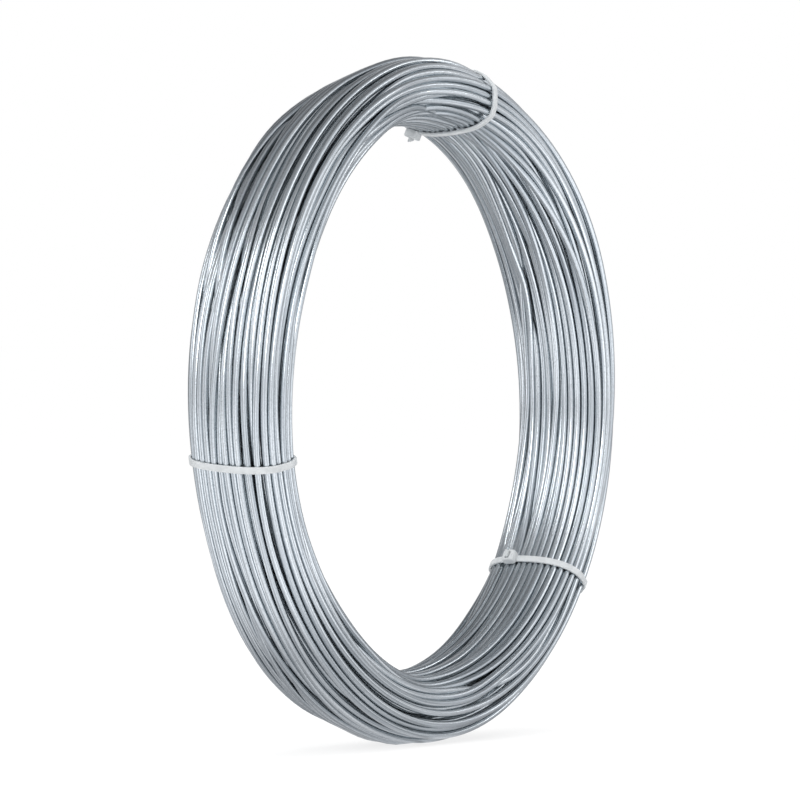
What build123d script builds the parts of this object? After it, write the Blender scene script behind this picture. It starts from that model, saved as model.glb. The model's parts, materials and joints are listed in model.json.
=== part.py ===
"""Coil of galvanised steel wire, bound by three nylon cable ties.

The coil stands on its rim at Z = 0, with its axis level along Y and its eye open from end to end.
Its near end faces -Y.
"""
import math
import os

from build123d import *

# Coil of wire
outer_diameter = 250.0
radial_thickness = 26.9
axial_width = 38.8
wire_diameter = 2.5
turn_pitch = 3.9
groove_share = 0.5
corner_share = 0.43

# Cable ties
strap_width = 2.5
strap_thickness = 1.1
strap_clearance = 0.1
head_width = 4.7
head_length = 5.2
head_height = 3.4
head_corner = 0.9
head_edge = 0.4
slot_clearance = 0.35
slot_depth = 1.2
tail_length = 2.6

# Place of each tie round the coil, and of its head round the section from the middle of the far end
top_turn_share = 0.213
left_turn_share = 0.531
right_turn_share = 0.9
top_head_share = 0.885
side_head_share = 0.82

# The centres of the outer turns go round the section, half a wire inside its outline.
wire_radius = wire_diameter / 2
groove_depth = groove_share * wire_diameter
lay_width = radial_thickness - wire_diameter
lay_height = axial_width - wire_diameter
lay_corner = corner_share * min(lay_width, lay_height)
section_radius = (outer_diameter - radial_thickness) / 2

# The axis runs from the far end to the near end, half the outer diameter over the floor.
axis_level = outer_diameter / 2
coil_axis = Axis((0, 0, axis_level), (0, -1, 0))

# The section is drawn by its distance from the axis and its place along it.
with BuildSketch() as lay:
    with Locations((section_radius, 0)):
        RectangleRounded(lay_width, lay_height, lay_corner)

lay_line = lay.sketch.face().outer_wire()
lay_start_share = lay_line.param_at_point((section_radius, -lay_height / 2))


def section_plane(turn_share):
    """Half plane from the axis through that share of a turn: its x leads outwards, its y along the axis."""
    turn = math.tau * turn_share
    across = Vector(math.sin(turn), 0, -math.cos(turn))
    return Plane(origin=coil_axis.position, x_dir=coil_axis.direction.cross(across), z_dir=across)


def lay_place(share):
    """Turn's centre that share of the way round the section, and the direction outwards there."""
    place = (lay_start_share + share) % 1
    return lay_line.position_at(place), lay_line.tangent_at(place).rotate(Axis.Z, -90)


def turn_profile():
    """Crests of the outer turns, and the whole outline with its grooves, in order round the section.

    A groove lies at the middle of each end, so the turns there are alike on both sides of it.
    """
    turns = 2 * round(lay_line.length / turn_pitch / 2)
    crests = []
    outline = []
    for turn in range(turns):
        centre, outwards = lay_place(turn / turns)
        outline.append(centre + outwards * (wire_radius - groove_depth))
        centre, outwards = lay_place((turn + 1 / 2) / turns)
        crests.append(centre + outwards * wire_radius)
        outline.append(crests[-1])
    return crests, outline


crests, outline = turn_profile()

# Coil: the section with its turns, carried round the axis
with BuildPart() as wire_coil:
    with BuildSketch(section_plane(0)):
        with BuildLine():
            Polyline(*outline, close=True)
        make_face()
    revolve(axis=coil_axis)

wire_coil.part.label = "wire_coil"


def strap_outline(grown):
    """Outline that a strap follows from crest to crest, the given distance outside the turns."""
    with BuildSketch() as face:
        with BuildLine():
            Polyline(*crests, close=True)
        make_face()
        offset(amount=grown, kind=Kind.INTERSECTION)
    return face.sketch


def cable_tie(turn_share, head_share):
    """Tie drawn tight: strap round the section, head on the bore side, tail cut off past the head."""
    tie_plane = section_plane(turn_share)
    centre, normal = lay_place(head_share)
    seat = centre + normal * (wire_radius + strap_clearance)
    head_plane = Plane(
        origin=tie_plane.from_local_coords(seat),
        x_dir=tie_plane.z_dir,
        z_dir=tie_plane.x_dir * normal.X + tie_plane.y_dir * normal.Y,
    )
    mouth_plane = head_plane.offset(head_height)
    with BuildPart() as tie:
        with BuildSketch(tie_plane):
            add(strap_outline(strap_clearance + strap_thickness))
            add(strap_outline(strap_clearance), mode=Mode.SUBTRACT)
        extrude(amount=strap_width / 2, both=True)
        with BuildSketch(head_plane):
            RectangleRounded(head_width, head_length, head_corner)
        extrude(amount=head_height)
        chamfer(tie.faces().sort_by(Axis(head_plane.origin, head_plane.z_dir))[-1].edges(), head_edge)
        with BuildSketch(mouth_plane):
            Rectangle(strap_width + 2 * slot_clearance, strap_thickness + 2 * slot_clearance)
        extrude(amount=-slot_depth, mode=Mode.SUBTRACT)
        with BuildSketch(mouth_plane.offset(-slot_depth)):
            Rectangle(strap_width, strap_thickness)
        extrude(amount=slot_depth + tail_length)
    return tie.part


ties = (
    ("top", top_turn_share, top_head_share),
    ("left", left_turn_share, side_head_share),
    ("right", right_turn_share, side_head_share),
)

os.makedirs("parts", exist_ok=True)
export_step(wire_coil.part, "parts/wire_coil.step")
for side, turn_share, head_share in ties:
    tie = cable_tie(turn_share, head_share)
    tie.label = f"cable_tie_{side}"
    export_step(tie, f"parts/cable_tie_{side}.step")
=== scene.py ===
"""Looks of a coil of galvanised steel wire that three nylon cable ties hold together.

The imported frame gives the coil's section and the places of the ties. One wire is laid turn upon turn
through that section, the straps are drawn round the turns that they hold, and both get their finishes.
The coil stands on its rim with its axis along Y. A place in it is an angle about the axis, from +X to
+Z, and an offset in the section: outwards from the axis, and along it to the near end at -Y.
Lengths are in metres and angles in radians, where nothing else is said.
"""

import json
import logging
import math
from dataclasses import dataclass
from enum import Enum
from typing import Any, ClassVar, Sequence, Union

import bpy
import numpy as np
from mathutils import Matrix, Vector


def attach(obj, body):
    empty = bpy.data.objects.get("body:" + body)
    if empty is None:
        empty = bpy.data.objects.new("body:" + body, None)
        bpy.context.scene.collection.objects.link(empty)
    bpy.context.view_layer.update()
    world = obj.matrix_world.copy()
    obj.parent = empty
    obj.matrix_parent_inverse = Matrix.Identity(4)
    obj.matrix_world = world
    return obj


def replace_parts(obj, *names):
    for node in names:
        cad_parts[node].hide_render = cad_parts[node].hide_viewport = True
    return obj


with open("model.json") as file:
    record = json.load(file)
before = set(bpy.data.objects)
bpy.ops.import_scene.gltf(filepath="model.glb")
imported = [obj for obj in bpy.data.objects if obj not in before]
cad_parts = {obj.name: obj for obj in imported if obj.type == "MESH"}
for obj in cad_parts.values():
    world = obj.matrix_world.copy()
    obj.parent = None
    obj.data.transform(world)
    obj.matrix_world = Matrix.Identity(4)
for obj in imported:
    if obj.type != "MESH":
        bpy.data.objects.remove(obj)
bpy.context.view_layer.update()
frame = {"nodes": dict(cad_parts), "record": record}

BODY = "root"
COIL_NODE = "wire_coil"
RUN_MAP = "wire_run"
WIRE_DIAMETER = 0.0025
TAU = 2.0 * math.pi
DEGREES_ROUND = 360.0
MILLIMETRE = 0.001
TINY = 1e-6
CREASE = math.radians(50.0)
NEAR_END = np.array([0.0, -1.0, 0.0])

Colour = tuple[float, float, float, float]
Span = tuple[float, float]
WHITE: Colour = (1.0, 1.0, 1.0, 1.0)

log = logging.getLogger("coil")


class TiePlace(Enum):
    """The three ties, named by where they stand in the view."""

    TOP = "top"
    LEFT = "left"
    RIGHT = "right"

    @property
    def node(self) -> str:
        """Name of the tie's node in the frame."""
        return f"cable_tie_{self.value}"

    @property
    def angle(self) -> float:
        """Angle of the tie about the coil's axis, read from the mounts on its strap and in the eye.

        Returns:
            The angle, from zero to a full turn.
        """
        places = {mount["name"]: mount["pos_m"] for mount in frame["record"]["mounts"]}
        strap, eye = places[f"end_{self.value}"], places["eye"]
        return math.atan2(strap[2] - eye[2], strap[0] - eye[0]) % TAU


class Flow:
    """One output of a shader node, with operators that add Math nodes."""

    def __init__(self, graph: "Graph", socket: bpy.types.NodeSocket) -> None:
        """Keeps the graph that the socket belongs to."""
        self.graph = graph
        self.socket = socket

    def __add__(self, other: "Number") -> "Flow":
        """Sum."""
        return self.graph.math("ADD", self, other)

    __radd__ = __add__

    def __sub__(self, other: "Number") -> "Flow":
        """Difference."""
        return self.graph.math("SUBTRACT", self, other)

    def __rsub__(self, other: "Number") -> "Flow":
        """Difference from a number."""
        return self.graph.math("SUBTRACT", other, self)

    def __mul__(self, other: "Number") -> "Flow":
        """Product."""
        return self.graph.math("MULTIPLY", self, other)

    __rmul__ = __mul__


Number = Union[Flow, float]


class Graph:
    """Node tree of a material or of the world, with one method that adds any node."""

    def __init__(self, owner: Union[bpy.types.Material, bpy.types.World]) -> None:
        """Empties the owner's node tree.

        Args:
            owner: the material or world whose nodes are made.
        """
        owner.use_nodes = True
        self.tree = owner.node_tree
        self.tree.nodes.clear()

    def node(
        self,
        kind: str,
        settings: dict[str, Any] | None = None,
        inputs: dict[Union[str, int], Any] | None = None,
        output: Union[str, int] = 0,
    ) -> Flow:
        """Adds a node, sets it up and feeds its sockets.

        Args:
            kind: the node's type.
            settings: its own properties, set first; "stops" gives a ramp's places and colours.
            inputs: values or flows by the socket's name or number.
            output: the output that is handed on.

        Returns:
            The flow out of that output.
        """
        made = self.tree.nodes.new(kind)
        for name, value in (settings or {}).items():
            if name == "stops":
                self._set_stops(made.color_ramp.elements, value)
            else:
                setattr(made, name, value)
        for key, value in (inputs or {}).items():
            if isinstance(value, Flow):
                self.tree.links.new(value.socket, made.inputs[key])
            else:
                made.inputs[key].default_value = value
        return Flow(self, made.outputs[output] if made.outputs else None)

    @staticmethod
    def _set_stops(elements: Any, stops: Sequence[tuple[float, Colour]]) -> None:
        """Gives a ramp these places and colours.

        Args:
            elements: the ramp's elements.
            stops: a place and a colour for each.
        """
        while len(elements) < len(stops):
            elements.new(1.0)
        for element, (place, colour) in zip(elements, stops):
            element.position = place
            element.color = colour

    def math(self, operation: str, first: Number, second: Number = 0.0) -> Flow:
        """Math node on one or two values."""
        return self.node("ShaderNodeMath", {"operation": operation}, {0: first, 1: second})

    def span(self, value: Flow, low: float, high: float, start: float = 0.0, end: float = 1.0) -> Flow:
        """Map Range node from low..high to start..end, held at its ends."""
        places = {"Value": value, 1: low, 2: high, 3: start, 4: end}
        return self.node("ShaderNodeMapRange", {"clamp": True}, places)

    def blend(self, factor: Number, first: Union[Flow, Colour], second: Union[Flow, Colour]) -> Flow:
        """Mix node from the first colour to the second."""
        settings = {"data_type": "RGBA", "clamp_factor": True}
        return self.node("ShaderNodeMix", settings, {0: factor, 6: first, 7: second}, output=2)

    def times(self, first: Flow, second: Flow) -> Flow:
        """Mix node that multiplies two colours."""
        settings = {"data_type": "RGBA", "blend_type": "MULTIPLY"}
        return self.node("ShaderNodeMix", settings, {0: 1.0, 6: first, 7: second}, output=2)

    def noise(self, vector: Flow, scale: float, detail: float, rough: float) -> Flow:
        """Noise texture in three dimensions, about 0.5 in the mean."""
        inputs = {"Vector": vector, "Scale": scale, "Detail": detail, "Roughness": rough}
        return self.node("ShaderNodeTexNoise", {"noise_dimensions": "3D"}, inputs)

    def vector(self, x: Number, y: Number, z: Number) -> Flow:
        """Vector of three values."""
        return self.node("ShaderNodeCombineXYZ", None, {0: x, 1: y, 2: z})

    def part(self, vector: Flow, axis: str) -> Flow:
        """A vector's value on one axis."""
        return self.node("ShaderNodeSeparateXYZ", None, {0: vector}, output=axis)

    def glow(self, colour: Union[Flow, Colour], strength: float) -> Flow:
        """Emission shader."""
        return self.node("ShaderNodeEmission", None, {"Color": colour, "Strength": strength})

    def either(self, factor: Flow, first: Flow, second: Flow) -> Flow:
        """Mix Shader node from the first shader to the second."""
        return self.node("ShaderNodeMixShader", None, {0: factor, 1: first, 2: second})

    def surface(self, shader: Flow, output: str = "ShaderNodeOutputMaterial") -> None:
        """Leads a shader to the tree's output."""
        self.node(output, None, {"Surface": shader})


@dataclass(frozen=True)
class WirePattern:
    """Noise on the wire: its scale along the run and around it, and the span that is stretched to 0..1."""

    along: float
    around: float
    detail: float
    rough: float
    span: Span

    def on(self, graph: Graph, run: Flow, side: Flow, front: Flow) -> Flow:
        """Noise at the length run and at the point of the round, stretched over its span.

        Args:
            graph: the material's graph.
            run: length run along the wire.
            side: sine of the turn round the wire.
            front: cosine of that turn.

        Returns:
            The pattern, from 0 to 1.
        """
        place = graph.vector(run * self.along, side * self.around, front * self.around)
        return graph.span(graph.noise(place, 1.0, self.detail, self.rough), *self.span)


@dataclass(frozen=True)
class ZincFinish:
    """Hot-dipped zinc on drawn wire: bright metal, drawn lines, dull bands, grey bloom, painted shade in the
    gaps.
    """

    bright: Colour = (0.74, 0.785, 0.81, 1.0)
    dull: Colour = (0.36, 0.4, 0.43, 1.0)
    bloom: Colour = (0.27, 0.3, 0.32, 1.0)
    # painted shade: near-black laid on the sides of the turns that face into the bundle
    gap_shade: Colour = (0.09, 0.1, 0.105, 1.0)
    lines: WirePattern = WirePattern(along=14.0, around=3.4, detail=3.0, rough=0.6, span=(0.34, 0.66))
    bands: WirePattern = WirePattern(along=2.3, around=0.0, detail=2.0, rough=0.6, span=(0.32, 0.68))
    specks: WirePattern = WirePattern(along=1300.0, around=3.2, detail=2.0, rough=0.5, span=(0.5, 0.68))
    lines_wear: float = 0.85
    bands_wear: float = 0.45
    wear_span: Span = (0.2, 1.05)
    bloom_share: float = 0.45
    gap_shade_share: float = 0.5
    gap_shade_span: Span = (0.25, 0.44)
    smooth: float = 0.14
    coarse: float = 0.4
    wear_coarseness: float = 0.8
    speck_coarseness: float = 0.3
    relief: float = 0.00003
    relief_strength: float = 0.22
    speck_depth: float = 0.3

    def material(self) -> bpy.types.Material:
        """Makes the metal from the wire's own UV map, whose U is the length run and V the share of a round.

        V is a half on the side that faces out of the bundle, so the gaps, where shade is painted, lie away
        from a half.

        Returns:
            The material.
        """
        made = bpy.data.materials.new("zinc_wire")
        graph = Graph(made)
        uv = graph.node("ShaderNodeUVMap", {"uv_map": RUN_MAP})
        run = graph.part(uv, "X")
        share = graph.part(uv, "Y")
        turn = share * TAU
        side = graph.math("SINE", turn)
        front = graph.math("COSINE", turn)
        lines = self.lines.on(graph, run, side, front)
        bands = self.bands.on(graph, run, side, front)
        specks = self.specks.on(graph, run, side, front)
        # painted shade: one on the sides of each turn that face into the bundle, which blend towards
        # near-black below
        gap_shade_mask = graph.span(graph.math("ABSOLUTE", share - 0.5), *self.gap_shade_span)

        worn = graph.span(lines * self.lines_wear + bands * self.bands_wear, *self.wear_span)
        metal = graph.blend(worn, self.bright, self.dull)
        bloomed = graph.blend(specks * self.bloom_share, metal, self.bloom)
        colour = graph.blend(gap_shade_mask * self.gap_shade_share, bloomed, self.gap_shade)
        coarse = worn * self.wear_coarseness + specks * self.speck_coarseness
        rough = graph.span(coarse, 0.0, 1.0, self.smooth, self.coarse)
        height = lines - specks * self.speck_depth
        relief = graph.node(
            "ShaderNodeBump",
            None,
            {"Strength": self.relief_strength, "Distance": self.relief, "Height": height},
        )
        shader = graph.node(
            "ShaderNodeBsdfPrincipled",
            None,
            {"Base Color": colour, "Metallic": 1.0, "Roughness": rough, "Normal": relief},
        )
        graph.surface(shader)
        return made


@dataclass(frozen=True)
class NylonFinish:
    """Natural white nylon: milky, faintly clouded, with a soft sheen."""

    milk: Colour = (0.69, 0.715, 0.73, 1.0)
    cloud: Colour = (0.59, 0.615, 0.63, 1.0)
    cloud_scale: float = 260.0
    cloud_detail: float = 3.0
    cloud_rough: float = 0.55
    cloud_span: Span = (0.3, 0.7)
    grain_scale: float = 2600.0
    grain_detail: float = 2.0
    grain_rough: float = 0.5
    sheen: float = 0.34
    matt: float = 0.5
    cloud_coarseness: float = 0.6
    grain_coarseness: float = 0.4
    coarse_span: Span = (0.2, 0.8)
    relief: float = 0.00002
    relief_strength: float = 0.2
    refraction: float = 1.53
    depth: float = 0.0006
    depth_share: float = 0.35

    def material(self) -> bpy.types.Material:
        """Makes the plastic on Object coordinates.

        Returns:
            The material.
        """
        made = bpy.data.materials.new("nylon")
        graph = Graph(made)
        place = graph.node("ShaderNodeTexCoord", output="Object")
        cloudy = graph.noise(place, self.cloud_scale, self.cloud_detail, self.cloud_rough)
        clouds = graph.span(cloudy, *self.cloud_span)
        grain = graph.noise(place, self.grain_scale, self.grain_detail, self.grain_rough)
        colour = graph.blend(clouds, self.milk, self.cloud)
        coarse = clouds * self.cloud_coarseness + grain * self.grain_coarseness
        rough = graph.span(coarse, *self.coarse_span, self.sheen, self.matt)
        relief = graph.node(
            "ShaderNodeBump",
            None,
            {"Strength": self.relief_strength, "Distance": self.relief, "Height": grain},
        )
        shader = graph.node(
            "ShaderNodeBsdfPrincipled",
            None,
            {
                "Base Color": colour,
                "Roughness": rough,
                "Normal": relief,
                "IOR": self.refraction,
                "Subsurface Weight": self.depth_share,
                "Subsurface Radius": (1.0, 1.0, 1.0),
                "Subsurface Scale": self.depth,
            },
        )
        graph.surface(shader)
        return made


def grid_quads(rows: int, columns: int, wrap_rows: bool) -> np.ndarray:
    """Quads of a grid whose columns close on themselves: each joins a cell's four corners in order.

    Args:
        rows: number of rows of points.
        columns: number of points in a row.
        wrap_rows: whether the last row joins the first.

    Returns:
        An array of four point numbers for each quad.
    """
    row = np.arange(rows if wrap_rows else rows - 1)[:, None]
    column = np.arange(columns)[None, :]
    next_row = (row + 1) % rows
    next_column = (column + 1) % columns
    corners = (
        row * columns + column,
        row * columns + next_column,
        next_row * columns + next_column,
        next_row * columns + column,
    )
    return np.stack(corners, axis=-1).reshape(-1, 4)


@dataclass
class Skin:
    """Points and faces of a closed surface: quads on a grid and, at open ends, one flat face each."""

    grid: np.ndarray
    wrap_rows: bool = False
    run: np.ndarray | None = None

    @property
    def points(self) -> np.ndarray:
        """All points in a row."""
        return self.grid.reshape(-1, 3)

    @property
    def quads(self) -> np.ndarray:
        """The grid's quads."""
        return grid_quads(self.grid.shape[0], self.grid.shape[1], self.wrap_rows)

    @property
    def ends(self) -> list[np.ndarray]:
        """The flat faces that close the first and the last row.

        Returns:
            The point numbers of each, or none where the rows join.
        """
        if self.wrap_rows:
            return []
        rows, columns = self.grid.shape[:2]
        first = np.arange(columns)[::-1]
        last = np.arange(columns) + (rows - 1) * columns
        return [first, last]

    def run_coordinates(self) -> np.ndarray:
        """UV of every face corner: U is the length run at its row, V its share of the round.

        Returns:
            An array of two numbers for each corner, quads first and ends after.
        """
        rows, columns = self.grid.shape[:2]
        row = np.arange(rows - 1)[:, None, None] + np.array([0, 0, 1, 1])
        column = np.arange(columns)[None, :, None] + np.array([0, 1, 1, 0])
        quads = np.stack(np.broadcast_arrays(self.run[row], column / columns), axis=-1).reshape(-1, 2)
        share = np.arange(columns) / columns
        first = np.stack([np.full(columns, self.run[0]), share[::-1]], axis=-1)
        last = np.stack([np.full(columns, self.run[-1]), share], axis=-1)
        return np.concatenate([quads, first, last])


def put(name: str, data: bpy.types.ID) -> bpy.types.Object:
    """Adds an object with that data to the scene.

    Args:
        name: the object's name.
        data: its mesh, lamp or camera.

    Returns:
        The object.
    """
    made = bpy.data.objects.new(name, data)
    bpy.context.scene.collection.objects.link(made)
    return made


def join_skins(name: str, skins: Sequence[Skin], run_map: str = "") -> bpy.types.Object:
    """Puts closed surfaces into one mesh object at the origin, smooth shaded, and lets it ride on the body.

    Args:
        name: the piece's name.
        skins: the surfaces.
        run_map: name of the UV map to write, where the skins carry their run.

    Returns:
        The object.
    """
    starts = np.cumsum([0] + [len(skin.points) for skin in skins])
    corner_lists = []
    sizes = []
    for skin, start in zip(skins, starts):
        corner_lists.append((skin.quads + start).ravel())
        sizes.append(np.full(len(skin.quads), 4))
        for end in skin.ends:
            corner_lists.append(end + start)
            sizes.append(np.array([len(end)]))
    corners = np.concatenate(corner_lists)
    size = np.concatenate(sizes)
    points = np.concatenate([skin.points for skin in skins])

    mesh = bpy.data.meshes.new(name)
    mesh.vertices.add(len(points))
    mesh.vertices.foreach_set("co", points.astype(np.float32).ravel())
    mesh.loops.add(len(corners))
    mesh.loops.foreach_set("vertex_index", corners.astype(np.int32))
    mesh.polygons.add(len(size))
    mesh.polygons.foreach_set("loop_start", np.concatenate([[0], np.cumsum(size)[:-1]]).astype(np.int32))
    mesh.polygons.foreach_set("use_smooth", np.ones(len(size), dtype=bool))
    if run_map:
        layer = mesh.uv_layers.new(name=run_map)
        coordinates = np.concatenate([skin.run_coordinates() for skin in skins])
        layer.uv.foreach_set("vector", coordinates.astype(np.float32).ravel())
    mesh.update(calc_edges=True)
    mesh.validate()
    mesh.set_sharp_from_angle(angle=CREASE)
    made = put(name, mesh)
    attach(made, BODY)
    return made


def carry_profile(
    path: np.ndarray, across: np.ndarray, outward: np.ndarray, profile: np.ndarray
) -> np.ndarray:
    """Carries a flat profile along a path: point = path + x of the profile * across + y * outward.

    Args:
        path: the path's points.
        across: unit vectors that carry the profile's x.
        outward: unit vectors that carry its y.
        profile: the profile's points, in order round it.

    Returns:
        A grid of points, one row for each point of the path.
    """
    return path[:, None] + profile[:, :1] * across[:, None] + profile[:, 1:] * outward[:, None]


def rounded_outline(width: float, height: float, corner: float, steps: int = 4) -> np.ndarray:
    """Rectangle with rounded corners: quarter circles about four middles, in order round it.

    Args:
        width: its size in x.
        height: its size in y.
        corner: radius of its corners.
        steps: points on each corner.

    Returns:
        The outline's points.
    """
    turn = (np.arange(4)[:, None] + np.linspace(0.0, 1.0, steps)) * TAU / 4
    middle_x = (width / 2 - corner) * np.array([1, -1, -1, 1])[:, None]
    middle_y = (height / 2 - corner) * np.array([1, 1, -1, -1])[:, None]
    x = middle_x + corner * np.cos(turn)
    y = middle_y + corner * np.sin(turn)
    return np.stack([x, y], axis=-1).reshape(-1, 2)


def unit(vectors: np.ndarray) -> np.ndarray:
    """Each vector divided by its length."""
    return vectors / np.linalg.norm(vectors, axis=-1, keepdims=True)


def between(places: np.ndarray, knots: np.ndarray, points: np.ndarray) -> np.ndarray:
    """Flat points at places along knots, on straight lines from the point of one knot to the next."""
    return np.stack([np.interp(places, knots, points[:, axis]) for axis in range(2)], axis=-1)


def run_along(path: np.ndarray) -> np.ndarray:
    """Length run from a path's first point to each of its points: the sum of the steps before it."""
    return np.concatenate([[0.0], np.cumsum(np.linalg.norm(np.diff(path, axis=0), axis=-1))])


@dataclass(frozen=True)
class Section:
    """Rounded oblong that the turns fill in a plane through the axis: a superellipse."""

    radius: float
    axis_level: float
    half_radial: float
    half_axial: float
    power: float = 2.6

    @classmethod
    def of_node(cls, node: str) -> "Section":
        """Measures the section on the coil's node: its bore, its outside and its two ends.

        Args:
            node: the coil's node.

        Returns:
            The section.
        """
        mesh = frame["nodes"][node].data
        points = np.empty(len(mesh.vertices) * 3, dtype=np.float32)
        mesh.vertices.foreach_get("co", points)
        points = points.reshape(-1, 3)
        level = (points[:, 2].min() + points[:, 2].max()) / 2
        reach = np.hypot(points[:, 0], points[:, 2] - level)
        low, high = reach.min(), reach.max()
        return cls((low + high) / 2, level, (high - low) / 2, np.abs(points[:, 1]).max())

    def place(self, offsets: np.ndarray, angles: np.ndarray) -> np.ndarray:
        """Turns offsets in the section into points about the axis: reach times cosine and sine of the angle.

        Args:
            offsets: offsets outwards and along the axis.
            angles: angle of each about the axis.

        Returns:
            The points.
        """
        reach = self.radius + offsets[..., 0]
        points = [reach * np.cos(angles), -offsets[..., 1], self.axis_level + reach * np.sin(angles)]
        return np.stack(points, axis=-1)

    def fill(self, offsets: np.ndarray, half: np.ndarray) -> np.ndarray:
        """Power mean of the offsets as shares of the half sizes: 1 on the superellipse's edge."""
        return ((np.abs(offsets) / half) ** self.power).sum(-1) ** (1.0 / self.power)

    @staticmethod
    def outwards(angles: np.ndarray) -> np.ndarray:
        """Unit vectors away from the axis."""
        return np.stack([np.cos(angles), np.zeros_like(angles), np.sin(angles)], axis=-1)


@dataclass
class WireLay:
    """The wire of the coil, one length wound turn upon turn, squeezed at the ties and loose between them.

    The table of unevenness gives by the angle in degrees: how many millimetres the bundle goes out further
    on its outer side and on its bore side, seen on the lean, how far it tilts, which is the move outwards
    for each length along the axis, and by what share it is thinner between its outside and its bore.
    """

    section: Section
    tie_angles: Sequence[float]
    spacing: float = 0.00258
    turns: int = 124
    stations: int = 144
    sides: int = 12
    layers: int = 5
    start_past_tie: float = 0.13
    tie_squeeze: float = 0.97
    free_swell: float = 1.005
    slack_power: float = 0.7
    tie_shift: float = 0.0003
    lean: tuple[float, float] = (0.536, 0.844)
    uneven: tuple[tuple[float, float, float, float, float], ...] = (
        (0.0, -0.2, -1.2, 0.0, 0.0),
        (30.0, 0.9, -0.5, 0.0, 0.0),
        (48.0, 0.8, -1.0, 0.03, 0.0),
        (66.0, -0.5, -1.1, 0.1, 0.2),
        (78.0, 0.0, -1.5, 0.12, 0.24),
        (84.0, 0.4, -1.9, 0.14, 0.2),
        (96.0, -1.3, -3.4, 0.24, 0.0),
        (108.0, -4.1, -3.0, 0.35, 0.0),
        (120.0, -2.7, -1.5, 0.2, 0.0),
        (132.0, 0.3, 0.2, 0.05, 0.0),
        (144.0, -0.4, 0.3, 0.0, 0.0),
        (156.0, 0.4, 0.2, 0.0, 0.0),
        (204.0, -0.5, -0.8, 0.0, 0.0),
        (228.0, 0.2, 0.5, 0.0, 0.0),
        (240.0, -0.8, 0.8, 0.1, 0.0),
        (252.0, -2.8, -0.2, 0.2, 0.0),
        (264.0, 0.2, -2.2, 0.15, 0.0),
        (279.0, 1.4, -1.5, 0.0, 0.0),
        (297.0, -0.2, -1.2, 0.0, 0.0),
        (336.0, -0.1, -0.3, 0.0, 0.0),
    )
    tie_jitter: float = 0.0006
    small_swap: float = 0.3
    large_swap: float = 7.0
    large_swap_share: float = 0.12
    ride_lift: float = 0.0011
    wander: float = 0.0011
    wander_knots: int = 5
    floor_gap: float = 0.0001
    floor_least_sine: float = 0.5
    pack_rounds: int = 300
    pack_push: float = 0.6
    relax_rounds: int = 130
    relax_push: float = 0.7
    first_smoothing: int = 40
    smoothing: int = 2
    seed: int = 11
    piece_names: ClassVar[tuple[str, ...]] = ("wire_core_turns", "wire_middle_turns", "wire_outer_turns")

    def __post_init__(self) -> None:
        """Sets the places of the stations and the slack at each, and lays and settles the turns."""
        self.random = np.random.default_rng(self.seed)
        ties = np.sort(np.asarray(self.tie_angles))
        self.start = ties[1] + self.start_past_tie
        self.angles = self.start + np.arange(self.stations) * TAU / self.stations
        self.tie_shares = np.sort(((ties - self.start) / TAU) % 1.0)
        self.slack = self._slack()
        self.half = np.array([self.section.half_radial, self.section.half_axial]) - WIRE_DIAMETER / 2
        self.offsets = self._relax(self._first_lay())

    def _slack(self) -> np.ndarray:
        """How free the bundle is: a power of the sine of the share of the way from one tie to the next.

        Returns:
            The slack at each station, from 0 at a tie to 1.
        """
        share = np.arange(self.stations) / self.stations
        knots = np.concatenate([[self.tie_shares[-1] - 1.0], self.tie_shares, [self.tie_shares[0] + 1.0]])
        phase = np.interp(share, knots, np.arange(len(knots)))
        return np.abs(np.sin(phase * math.pi)) ** self.slack_power

    def _limits(self) -> tuple[np.ndarray, np.ndarray, np.ndarray]:
        """Limits of the uneven bundle at every station.

        Half the sum of what the table gives for the outer and the bore side, less what tilt and thinness
        bring, swells the section, and half the difference shifts it.

        Returns:
            Half sizes of the section, its shift and its tilt.
        """
        scale = self.tie_squeeze + (self.free_swell - self.tie_squeeze) * self.slack
        angle, *columns = np.array(self.uneven).T
        turned = np.degrees(self.angles) % DEGREES_ROUND
        outer, inner, tilt, thin = (
            np.interp(turned, angle, column, period=DEGREES_ROUND) for column in columns
        )
        outer, inner = outer * MILLIMETRE, inner * MILLIMETRE
        lean = unit(np.stack(np.broadcast_arrays(self.lean[0], self.lean[1] * np.cos(self.angles)), axis=-1))
        tilted = lean + lean[:, :1] * tilt[:, None] * np.array([0.0, 1.0])
        half = self.half * (1.0 - thin[:, None] * np.array([1.0, 0.0]))
        reach = np.linalg.norm(lean * self.half, axis=-1)
        tilted_reach = np.linalg.norm(tilted * half, axis=-1)
        scale = scale + ((outer + inner) / 2 + reach - tilted_reach) / tilted_reach
        shift = lean * (outer - inner)[:, None] / 2
        shift[:, 0] += self.tie_shift * (1.0 - self.slack)
        return (half * scale[:, None])[:, None], shift[:, None], tilt[:, None]

    def _push_apart(self, places: np.ndarray, share: float, lift: np.ndarray | float = 0.0) -> np.ndarray:
        """Moves turns that crowd each other apart: each takes half of what the two lack of their spacing.

        A turn that rides over others counts as further out, so the two part in depth and not sideways.

        Args:
            places: turns at each station, in the section.
            share: share of the lack that is made good.
            lift: how much further out each turn counts.

        Returns:
            The moved places.
        """
        delta = places[:, :, None] - places[:, None]
        lack = np.clip(self.spacing - np.sqrt((delta**2).sum(-1)), 0.0, None)
        lack[:, np.arange(self.turns), np.arange(self.turns)] = 0.0
        outer = places + np.asarray(lift)[..., None] * unit(places + TINY)
        way = outer[:, :, None] - outer[:, None]
        length = np.sqrt((way**2).sum(-1)) + TINY
        return places + 0.5 * share * (way * (lack / length)[..., None]).sum(2)

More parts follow.
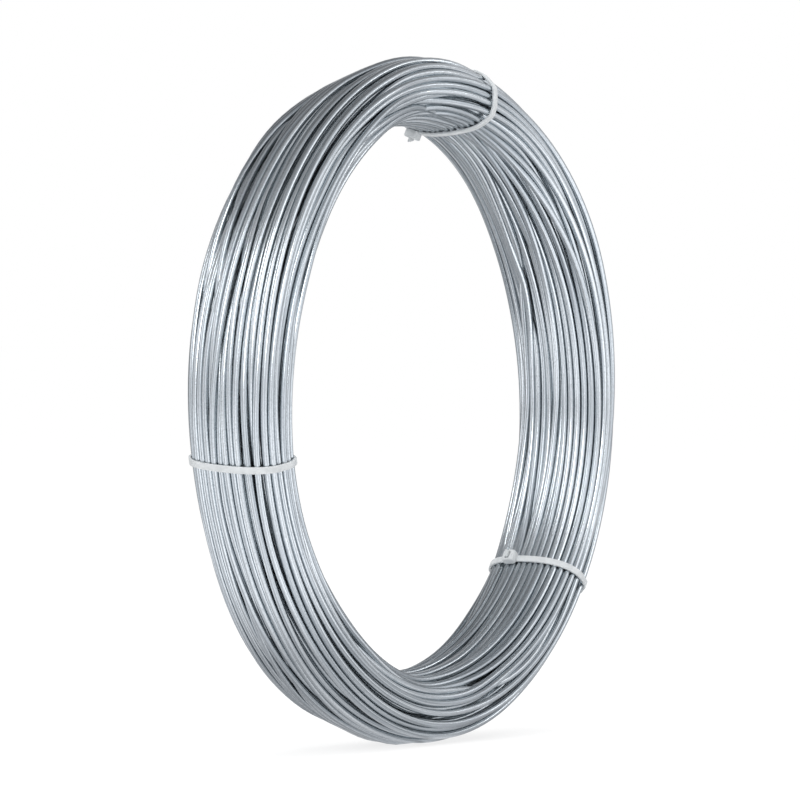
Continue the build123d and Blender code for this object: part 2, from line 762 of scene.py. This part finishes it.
    def _confine(
        self, places: np.ndarray, half: np.ndarray, shift: np.ndarray, tilt: np.ndarray | float = 0.0
    ) -> np.ndarray:
        """Draws turns outside the tilted superellipse back to its edge, along the line to its middle.

        Args:
            places: turns at each station, in the section.
            half: half sizes of the superellipse.
            shift: place of its middle.
            tilt: its move outwards for each length along the axis.

        Returns:
            The moved places.
        """
        middle = places - shift
        middle[..., 0] -= tilt * middle[..., 1]
        middle /= np.maximum(self.section.fill(middle, half), 1.0)[..., None]
        middle[..., 0] += tilt * middle[..., 1]
        return shift + middle

    def _packed_section(self) -> np.ndarray:
        """Packs the turns at random into the squeezed section, in order from its core outwards.

        Returns:
            Places in the section, sorted by layer and then by the angle about its middle.
        """
        half = (self.half * self.tie_squeeze)[None, None]
        places = self.random.uniform(-1.0, 1.0, (1, self.turns, 2)) * half
        for _ in range(self.pack_rounds):
            places = self._confine(self._push_apart(places, self.pack_push), half, np.zeros(2))
        flat = places[0]
        depth = self.section.fill(flat, half[0])
        layer = np.minimum((depth * self.layers).astype(int), self.layers - 1)
        angle = np.arctan2(flat[:, 0], -flat[:, 1]) % TAU
        return flat[np.lexsort((angle, layer))]

    def _swapped_order(self, far: np.ndarray) -> np.ndarray:
        """Order of the turns at a tie: a rank moves by a small random step, a far one by a large step."""
        step = np.where(far, self.large_swap, self.small_swap)
        return np.argsort(np.argsort(np.arange(self.turns) + self.random.normal(size=self.turns) * step))

    def _first_lay(self) -> np.ndarray:
        """Leads the wire from its place at one tie to its place at the next, with a smooth wander between.

        Turns that change rank by a large step ride over the others on both sides of that tie.

        Returns:
            Offsets in the section, for each turn and station in the wire's order.
        """
        packed = self._packed_section()
        far = self.random.random((self.turns, len(self.tie_shares))) < self.large_swap_share
        jitter = self.random.normal(size=(self.turns, len(self.tie_shares), 2)) * self.tie_jitter
        held = np.stack([packed[self._swapped_order(moved)] for moved in far.T], axis=1) + jitter
        knots = (np.arange(self.turns)[:, None] + self.tie_shares).ravel()
        share = np.arange(self.turns * self.stations) / self.stations
        riding = np.convolve(far.ravel(), [1, 1]) > 0
        riding = riding[np.searchsorted(knots, share)].reshape(self.turns, self.stations)
        self.lift = self.ride_lift * (riding * self.slack).T

        line = between(share, knots, held.reshape(-1, 2))
        wander_knots = np.arange(self.turns * self.wander_knots + 1) / self.wander_knots
        steps = self.random.normal(size=(len(wander_knots), 2)) * self.wander
        drift = between(share, wander_knots, steps)
        slack = np.tile(self.slack, self.turns)[:, None]
        line = line * (1.0 + (self.free_swell / self.tie_squeeze - 1.0) * slack) + drift * slack
        return line.reshape(self.turns, self.stations, 2)

    @staticmethod
    def _smooth(line: np.ndarray, rounds: int) -> np.ndarray:
        """Straightens the wire: a point moves to half of itself and a quarter of each neighbour.

        Args:
            line: offsets for each turn and station.
            rounds: how often it is done.

        Returns:
            The straightened offsets.
        """
        chain = line.reshape(-1, 2)
        for _ in range(rounds):
            padded = np.concatenate([2 * chain[:1] - chain[1:2], chain, 2 * chain[-1:] - chain[-2:-1]])
            chain = 0.25 * padded[:-2] + 0.5 * chain + 0.25 * padded[2:]
        return chain.reshape(line.shape)

    def _relax(self, line: np.ndarray) -> np.ndarray:
        """Settles the turns: parts them, keeps them in the section and off the floor, and straightens them.

        Args:
            line: offsets for each turn and station.

        Returns:
            The settled offsets.
        """
        half, shift, tilt = self._limits()
        half = half + self.lift[..., None]
        depth = self.section.axis_level - WIRE_DIAMETER / 2 - self.floor_gap
        downwards = np.maximum(-np.sin(self.angles), self.floor_least_sine)
        furthest = depth / downwards[:, None] - self.section.radius
        line = self._smooth(line, self.first_smoothing)
        for _ in range(self.relax_rounds):
            places = self._push_apart(line.transpose(1, 0, 2), self.relax_push, self.lift)
            places = self._confine(places, half, shift, tilt)
            line = self._smooth(places.transpose(1, 0, 2), self.smoothing)
            line[..., 0] = np.minimum(line[..., 0], furthest.T)
        return line

    def section_at(self, angle: float) -> np.ndarray:
        """Places of all turns in the section at an angle, in line between the two nearest stations.

        Args:
            angle: the angle about the axis.

        Returns:
            Offsets of the turns.
        """
        share = ((angle - self.start) / TAU) % 1.0 * self.stations
        before = int(share) % self.stations
        after = (before + 1) % self.stations
        part = share - int(share)
        return self.offsets[:, before] * (1.0 - part) + self.offsets[:, after] * part

    def build(self) -> list[bpy.types.Object]:
        """Carries a circle along the wire, in three lengths from the core to the outside.

        Returns:
            The three pieces.
        """
        count = self.turns * self.stations
        angles = self.start + np.arange(count) * TAU / self.stations
        offsets = self.offsets.reshape(-1, 2)
        path = self.section.place(offsets, angles)
        along = unit(np.gradient(path, axis=0))
        out = unit(offsets + TINY)
        outward = out[:, :1] * self.section.outwards(angles) + out[:, 1:] * NEAR_END
        outward = unit(outward - (outward * along).sum(-1, keepdims=True) * along)
        across = np.cross(along, outward)
        run = run_along(path)
        round_angle = np.arange(self.sides) * TAU / self.sides + math.pi
        profile = WIRE_DIAMETER / 2 * np.stack([np.sin(round_angle), np.cos(round_angle)], axis=-1)
        grid = carry_profile(path, across, outward, profile)

        cuts = np.linspace(0, count - 1, len(self.piece_names) + 1).astype(int)
        pieces = []
        for name, first, last in zip(self.piece_names, cuts[:-1], cuts[1:]):
            skin = Skin(grid[first : last + 1], run=run[first : last + 1])
            pieces.append(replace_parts(join_skins(name, [skin], RUN_MAP), COIL_NODE))
        log.info("wire %.1f m long in %d turns", run[-1], self.turns)
        return pieces

    def dress(self, pieces: Sequence[bpy.types.Object], finish: ZincFinish) -> None:
        """Gives the pieces the zinc finish.

        Args:
            pieces: the lengths of wire.
            finish: their finish.
        """
        material = finish.material()
        for piece in pieces:
            piece.data.materials.append(material)


@dataclass(frozen=True)
class TieLie:
    """How a tie lies: its head's place along the axis, and how far its bore side and far end go askew."""

    head_level: float
    bore_skew: float
    far_skew: float


TIE_LIES = {
    TiePlace.TOP: TieLie(head_level=-0.0135, bore_skew=-0.004, far_skew=0.004),
    TiePlace.LEFT: TieLie(head_level=-0.007, bore_skew=0.0, far_skew=-0.0034),
    TiePlace.RIGHT: TieLie(head_level=-0.0047, bore_skew=-0.003, far_skew=0.0),
}


@dataclass
class CableTie:
    """A nylon tie: a flat strap drawn round the bundle, its head, and the stub of its cut tail."""

    place: TiePlace
    section: Section
    held: np.ndarray
    lie: TieLie
    strap_width: float = 0.0025
    strap_thickness: float = 0.0010
    strap_edge: float = 0.00025
    clearance: float = 0.00005
    head_width: float = 0.0047
    head_length: float = 0.0052
    head_height: float = 0.0034
    head_corner: float = 0.0009
    head_edge: float = 0.00045
    crown_share: float = 0.3
    corner_share: float = 0.3
    mouth_floor_share: float = 0.55
    tail_shares: tuple[float, ...] = (0.6, 1.0, 1.15, 1.3)
    tail_slant: float = 0.5
    seat_slope: float = 0.2
    directions: int = 1440
    window_reach: int = 40
    window_width: float = 10.0
    path_points: int = 240

    def __post_init__(self) -> None:
        """Sets the tie's plane, by the way outwards from the axis, and the way across it."""
        self.radial = self.section.outwards(np.array(self.place.angle))
        self.across = np.cross(NEAR_END, self.radial)

    def _turned(self, flat: np.ndarray) -> np.ndarray:
        """Directions in the tie's plane as vectors in space."""
        return flat[..., :1] * self.radial + flat[..., 1:] * NEAR_END

    def _placed(self, flat: np.ndarray) -> np.ndarray:
        """Offsets in the tie's section as points in space.

        The skews draw the bore side and the far end along the coil, by the share of the way to them.

        Args:
            flat: offsets outwards and along the axis.

        Returns:
            The points.
        """
        bore_share = 0.5 - flat[..., :1] / self.section.half_radial / 2
        far_share = 0.5 - flat[..., 1:] / self.section.half_axial / 2
        along = (bore_share * self.lie.bore_skew + far_share * self.lie.far_skew) * self.across
        return self.section.place(flat, np.array(self.place.angle)) + along

    def _reach(self, out: np.ndarray) -> np.ndarray:
        """Furthest that any held wire goes in each direction, eased over the directions beside it.

        Args:
            out: directions in order round the section.

        Returns:
            The reach in each.
        """
        reach = (self.held @ out.T).max(0) + WIRE_DIAMETER / 2 + self.clearance
        steps = np.arange(-self.window_reach, self.window_reach + 1)
        window = np.exp(-0.5 * (steps / self.window_width) ** 2)
        window /= window.sum()
        wrapped = np.concatenate([reach[-self.window_reach :], reach, reach[: self.window_reach]])
        return np.convolve(wrapped, window, mode="valid")

    def _loop(self) -> tuple[np.ndarray, np.ndarray]:
        """The strap's inner line: hull of the held wires, by its reach in every direction.

        The reach h is the furthest that any wire goes in a direction n. The line's point is h n plus the
        change of h with the angle along the direction square to n. The line is then spaced evenly.

        Returns:
            Points and outward directions in the tie's plane.
        """
        step = TAU / self.directions
        turn = np.arange(self.directions) * TAU / self.directions
        out = np.stack([np.cos(turn), np.sin(turn)], axis=-1)
        reach = self._reach(out)
        slope = (np.roll(reach, -1) - np.roll(reach, 1)) / (2 * step)
        square = np.stack([-out[:, 1], out[:, 0]], axis=-1)
        line = reach[:, None] * out + slope[:, None] * square
        closed = np.concatenate([line, line[:1]])
        length = run_along(closed)
        even = np.arange(self.path_points) * length[-1] / self.path_points
        points = between(even, length, closed)
        ahead = unit(np.roll(points, -1, axis=0) - np.roll(points, 1, axis=0))
        return points, np.stack([ahead[:, 1], -ahead[:, 0]], axis=-1)

    def _strap_profile(self) -> np.ndarray:
        """The strap's flat profile with its rounded edges."""
        return rounded_outline(self.strap_width, self.strap_thickness, self.strap_edge)

    def _strap(self, points: np.ndarray, out: np.ndarray) -> Skin:
        """The strap's flat profile carried round its loop.

        Args:
            points: the loop's points in the tie's plane.
            out: its outward directions there.

        Returns:
            The strap's surface.
        """
        path = self._placed(points + out * self.strap_thickness / 2)
        across = np.broadcast_to(self.across, path.shape)
        return Skin(carry_profile(path, across, self._turned(out), self._strap_profile()), wrap_rows=True)

    def _head(self, foot: np.ndarray, out: np.ndarray, ahead: np.ndarray) -> Skin:
        """The head: rounded rectangles stacked outwards, drawn in at both edges, with a sunk mouth.

        Args:
            foot: middle of the head's seat on the strap.
            out: direction outwards.
            ahead: direction along the strap.

        Returns:
            The head's surface.
        """
        edge, height = self.head_edge, self.head_height
        size = np.array([self.head_width, self.head_length])
        mouth = np.array([self.strap_width + 2 * self.strap_edge, self.strap_thickness * 2])
        rows = [
            (size - 2 * edge, 0.0),
            (size, edge),
            (size, height - edge),
            (size - edge, height - edge * self.crown_share),
            (size - 2 * edge, height),
            (mouth, height),
            (mouth, height * self.mouth_floor_share),
        ]
        outlines = np.stack(
            [
                rounded_outline(width, length, min(self.head_corner, length * self.corner_share))
                for (width, length), _ in rows
            ]
        )
        levels = np.array([level for _, level in rows])[:, None, None]
        return Skin(foot + outlines[..., :1] * self.across + outlines[..., 1:] * ahead + levels * out)

    def _tail(self, foot: np.ndarray, out: np.ndarray, ahead: np.ndarray) -> Skin:
        """The cut tail: the strap's profile carried out of the mouth, with its end cut on a slant.

        Args:
            foot: middle of the head's seat on the strap.
            out: direction outwards.
            ahead: direction along the strap.

        Returns:
            The tail's surface.
        """
        profile = self._strap_profile()
        levels = np.array(self.tail_shares) * self.head_height
        path = foot + levels[:, None] * out
        across = np.broadcast_to(self.across, path.shape)
        grid = carry_profile(path, across, np.broadcast_to(ahead, path.shape), profile)
        grid[-1] += profile[:, :1] * self.tail_slant * out
        return Skin(grid)

    def build(self) -> bpy.types.Object:
        """Joins strap, head and tail in one piece, with the head on the bore side at its level.

        Returns:
            The tie.
        """
        points, out = self._loop()
        off_level = np.abs(points[:, 1] - self.lie.head_level)
        seat = int(np.argmin(np.where(out[:, 0] < self.seat_slope, off_level, 1.0)))
        seat_out = self._turned(out[seat])
        seat_ahead = self._turned(np.array([-out[seat, 1], out[seat, 0]]))
        foot = self._placed(points[seat])
        skins = [
            self._strap(points, out),
            self._head(foot, seat_out, seat_ahead),
            self._tail(foot, seat_out, seat_ahead),
        ]
        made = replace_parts(join_skins(f"tie_{self.place.value}", skins), self.place.node)
        log.info("tie %s: strap loop of %d points", self.place.value, len(points))
        return made

    def dress(self, piece: bpy.types.Object, material: bpy.types.Material) -> None:
        """Gives the tie its nylon."""
        piece.data.materials.append(material)


@dataclass(frozen=True)
class Lamp:
    """A soft lamp: its direction and distance from the coil's middle, its size, and its glow, 1 for white."""

    name: str
    way: tuple[float, float, float]
    distance: float
    size: tuple[float, float]
    glow: float
    in_gloss: bool = True

    def hang(self, aim: Vector) -> None:
        """Hangs the lamp, aimed at the coil's middle.

        Args:
            aim: the coil's middle.
        """
        data = bpy.data.lights.new(self.name, "AREA")
        data.shape = "RECTANGLE"
        data.size, data.size_y = self.size
        data.energy = self.glow * math.pi * self.size[0] * self.size[1]
        lamp = put(self.name, data)
        away = Vector(self.way).normalized()
        turned = away.to_track_quat("Z", "Y").to_matrix().to_4x4()
        lamp.matrix_world = Matrix.Translation(aim + away * self.distance) @ turned
        lamp.visible_glossy = self.in_gloss


@dataclass
class Studio:
    """Pale floor, soft lamps, a tent for the gloss and the camera at the view's angle.

    The tones of the tent go by the share of its height, and by the turn about Z in degrees, from -X
    towards -Y. The lamps hang beside the camera, left behind the coil and to the right, and one overhead.
    """

    section: Section
    sight_turn: float = math.radians(57.6)
    sight_rise: float = math.radians(0.6)
    pixel: float = 0.00036507
    image_width: float = 800.0
    middle_x: float = 411.3
    middle_y: float = 400.5
    distance: float = 2.147
    sensor: float = 36.0
    sight_end: float = 200.0
    floor_half: float = 60.0
    floor_colour: Colour = (0.9, 0.9, 0.9, 1.0)
    floor_glow_share: float = 0.7
    floor_glow: float = 1.14
    floor_gloss: float = 1.42
    floor_near: float = 0.085
    floor_far: float = 0.14
    # painted shadow: in gloss the floor blends to this dark tone near the coil
    floor_shadow_share: float = 0.7
    floor_shadow_tone: Colour = (0.28, 0.28, 0.29, 1.0)
    room_light: float = 0.75
    tent_radius: float = 6.0
    tent_sides: int = 48
    tent_rows: int = 13
    tent_blue: float = 1.03
    round_tones: tuple[tuple[float, float], ...] = (
        (-180.0, 0.46),
        (-75.0, 0.4),
        (-52.0, 1.1),
        (-32.0, 1.1),
        (-12.0, 0.42),
        (14.0, 1.12),
        (36.0, 1.12),
        (58.0, 0.55),
        (82.0, 1.25),
        (108.0, 1.25),
        (130.0, 0.92),
        (148.0, 0.6),
        (180.0, 0.46),
    )
    tent_tones: tuple[tuple[float, float], ...] = (
        (0.0, 0.84),
        (0.15, 1.05),
        (0.3, 1.45),
        (0.5, 1.35),
        (0.66, 0.6),
        (1.0, 0.42),
    )
    lamps: tuple[Lamp, ...] = (
        Lamp("lamp_front", (-0.77, -0.49, 0.41), 1.8, (0.5, 0.8), 4.4),
        Lamp("lamp_spot", (-0.54, -0.56, 0.62), 1.6, (0.3, 0.25), 6.0),
        Lamp("lamp_left", (-0.62, 0.5, 0.6), 1.8, (0.3, 0.4), 6.0),
        Lamp("lamp_right", (0.8, -0.6, 0.3), 1.8, (0.2, 0.35), 3.0),
        Lamp("lamp_fill", (0.0, 0.0, 1.0), 2.0, (1.4, 1.4), 2.5, in_gloss=False),
    )

    def __post_init__(self) -> None:
        """Sets the camera's directions: back towards it, right and up in its image."""
        rise = math.cos(self.sight_rise)
        self.back = Vector(
            (-math.sin(self.sight_turn) * rise, -math.cos(self.sight_turn) * rise, math.sin(self.sight_rise))
        )
        self.right = Vector((math.cos(self.sight_turn), -math.sin(self.sight_turn), 0.0))
        self.up = self.back.cross(self.right)
        self.aim = Vector((0.0, 0.0, self.section.axis_level))

    def add_camera(self) -> None:
        """Places the camera so that the coil's middle falls on its pixel."""
        half_image = self.image_width / 2
        data = bpy.data.cameras.new("view")
        data.sensor_width = self.sensor
        data.lens = data.sensor_width / 2 * self.distance / (half_image * self.pixel)
        data.clip_end = self.sight_end
        camera = put("view", data)
        aside = (half_image - self.middle_x) * self.pixel
        above = (self.middle_y - half_image) * self.pixel
        spot = self.aim + self.back * self.distance + self.right * aside + self.up * above
        turned = Matrix((self.right, self.up, self.back)).transposed().to_4x4()
        camera.matrix_world = Matrix.Translation(spot) @ turned
        bpy.context.scene.camera = camera

    def add_floor(self) -> None:
        """Lays the pale floor: white to the eye with the shadow kept, and in gloss the tent's tones as
        painted light and shade.

        Near the coil those tones blend to a single dark one, by the distance from the origin: a painted
        shadow in gloss.
        """
        half = self.floor_half
        corners = [(-half, -half, 0.0), (half, -half, 0.0), (half, half, 0.0), (-half, half, 0.0)]
        mesh = bpy.data.meshes.new("floor")
        mesh.from_pydata(corners, [], [(0, 1, 2, 3)])
        floor = put("floor", mesh)
        material = bpy.data.materials.new("floor")
        graph = Graph(material)
        matt = graph.node("ShaderNodeBsdfDiffuse", None, {"Color": self.floor_colour})
        white = graph.glow(WHITE, self.floor_glow)
        place = graph.node("ShaderNodeTexCoord", output="Object")
        away = graph.node("ShaderNodeVectorMath", {"operation": "LENGTH"}, {0: place}, output="Value")
        near = graph.span(away, self.floor_near, self.floor_far, self.floor_shadow_share, 0.0)
        # painted shadow: near the coil the floor's gloss tones blend to the dark shadow tone
        tones = graph.blend(near, self._round_tones(graph), self.floor_shadow_tone)
        gloss = graph.node("ShaderNodeLightPath", output="Is Glossy Ray")
        # painted light and shade: gloss sees the floor glow in the tent's tones by the turn about Z
        pale = graph.either(gloss, white, graph.glow(tones, self.floor_gloss))
        share = self._seen(graph) * (self.floor_glow_share + gloss * (1.0 - self.floor_glow_share))
        graph.surface(graph.either(share, matt, pale))
        mesh.materials.append(material)

    def _round_tones(self, graph: Graph) -> Flow:
        """Tones of the tent, and of the floor in gloss, where they are painted light and shade, by the turn
        about Z.

        Args:
            graph: the graph that they are added to.

        Returns:
            The tones as a colour.
        """
        place = graph.node("ShaderNodeTexCoord", output="Object")
        ahead = graph.part(place, "X") * -1.0
        aside = graph.part(place, "Y") * -1.0
        turn = graph.math("ARCTAN2", aside, ahead) * (1.0 / TAU) + 0.5
        stops = [
            (at / DEGREES_ROUND + 0.5, (tone, tone, tone * self.tent_blue, 1.0))
            for at, tone in self.round_tones
        ]
        return graph.node("ShaderNodeValToRGB", {"stops": stops}, {0: turn})

    def _seen(self, graph: Graph) -> Flow:
        """One for rays from the eye, from gloss and through glass, else zero.

        Args:
            graph: the graph that it is added to.

        Returns:
            The one or zero.
        """
        eye = graph.node("ShaderNodeLightPath", output="Is Camera Ray")
        gloss = graph.node("ShaderNodeLightPath", output="Is Glossy Ray")
        through = graph.node("ShaderNodeLightPath", output="Is Transmission Ray")
        return graph.math("MAXIMUM", graph.math("MAXIMUM", eye, gloss), through)

    def add_world(self) -> None:
        """Fills the room with grey light, white where it is seen past the floor or in gloss."""
        world = bpy.data.worlds.new("room")
        bpy.context.scene.world = world
        graph = Graph(world)
        room, white = (
            graph.node("ShaderNodeBackground", None, {"Color": WHITE, "Strength": strength})
            for strength in (self.room_light, 1.0)
        )
        graph.surface(graph.either(self._seen(graph), room, white), "ShaderNodeOutputWorld")

    def add_tent(self) -> None:
        """Puts a tent over the set that only gloss sees, with tones by its height and by the turn about Z.

        Its point at an angle about Z and a rise from the floor lies on a half sphere.
        """
        turn = np.arange(self.tent_sides) * TAU / self.tent_sides
        rise = np.linspace(0.0, TAU / 4, self.tent_rows)[:, None]
        level = np.broadcast_to(np.sin(rise), (self.tent_rows, self.tent_sides))
        points = np.stack([np.cos(rise) * np.cos(turn), np.cos(rise) * np.sin(turn), level], axis=-1)
        mesh = bpy.data.meshes.new("tent")
        faces = grid_quads(self.tent_rows, self.tent_sides, wrap_rows=False)
        mesh.from_pydata((points * self.tent_radius).reshape(-1, 3).tolist(), [], faces.tolist())
        tent = put("tent", mesh)
        tent.visible_camera = False
        tent.visible_diffuse = False
        tent.visible_shadow = False
        material = bpy.data.materials.new("tent")
        graph = Graph(material)
        place = graph.node("ShaderNodeTexCoord", output="Object")
        height = graph.part(place, "Z") * (1.0 / self.tent_radius)
        stops = [(at, (tone, tone, tone, 1.0)) for at, tone in self.tent_tones]
        rising = graph.node("ShaderNodeValToRGB", {"stops": stops}, {0: height})
        graph.surface(graph.glow(graph.times(rising, self._round_tones(graph)), 1.0))
        mesh.materials.append(material)

    def build(self) -> None:
        """Sets up the view, the floor and the light."""
        bpy.context.scene.view_settings.view_transform = "Standard"
        self.add_camera()
        self.add_floor()
        self.add_world()
        for lamp in self.lamps:
            lamp.hang(self.aim)
        self.add_tent()


def main() -> None:
    """Builds the studio, the wire and the ties in order, and reports each piece."""
    logging.basicConfig(level=logging.INFO, format="%(name)s: %(message)s")
    section = Section.of_node(COIL_NODE)
    Studio(section).build()

    lay = WireLay(section, [tie.angle for tie in TiePlace])
    pieces = lay.build()
    lay.dress(pieces, ZincFinish())

    nylon = NylonFinish().material()
    for place in TiePlace:
        tie = CableTie(place, section, lay.section_at(place.angle), TIE_LIES[place])
        piece = tie.build()
        tie.dress(piece, nylon)
        pieces.append(piece)
    for piece in pieces:
        log.info("%s: %d faces", piece.name, len(piece.data.polygons))


if __name__ == "__main__":
    main()
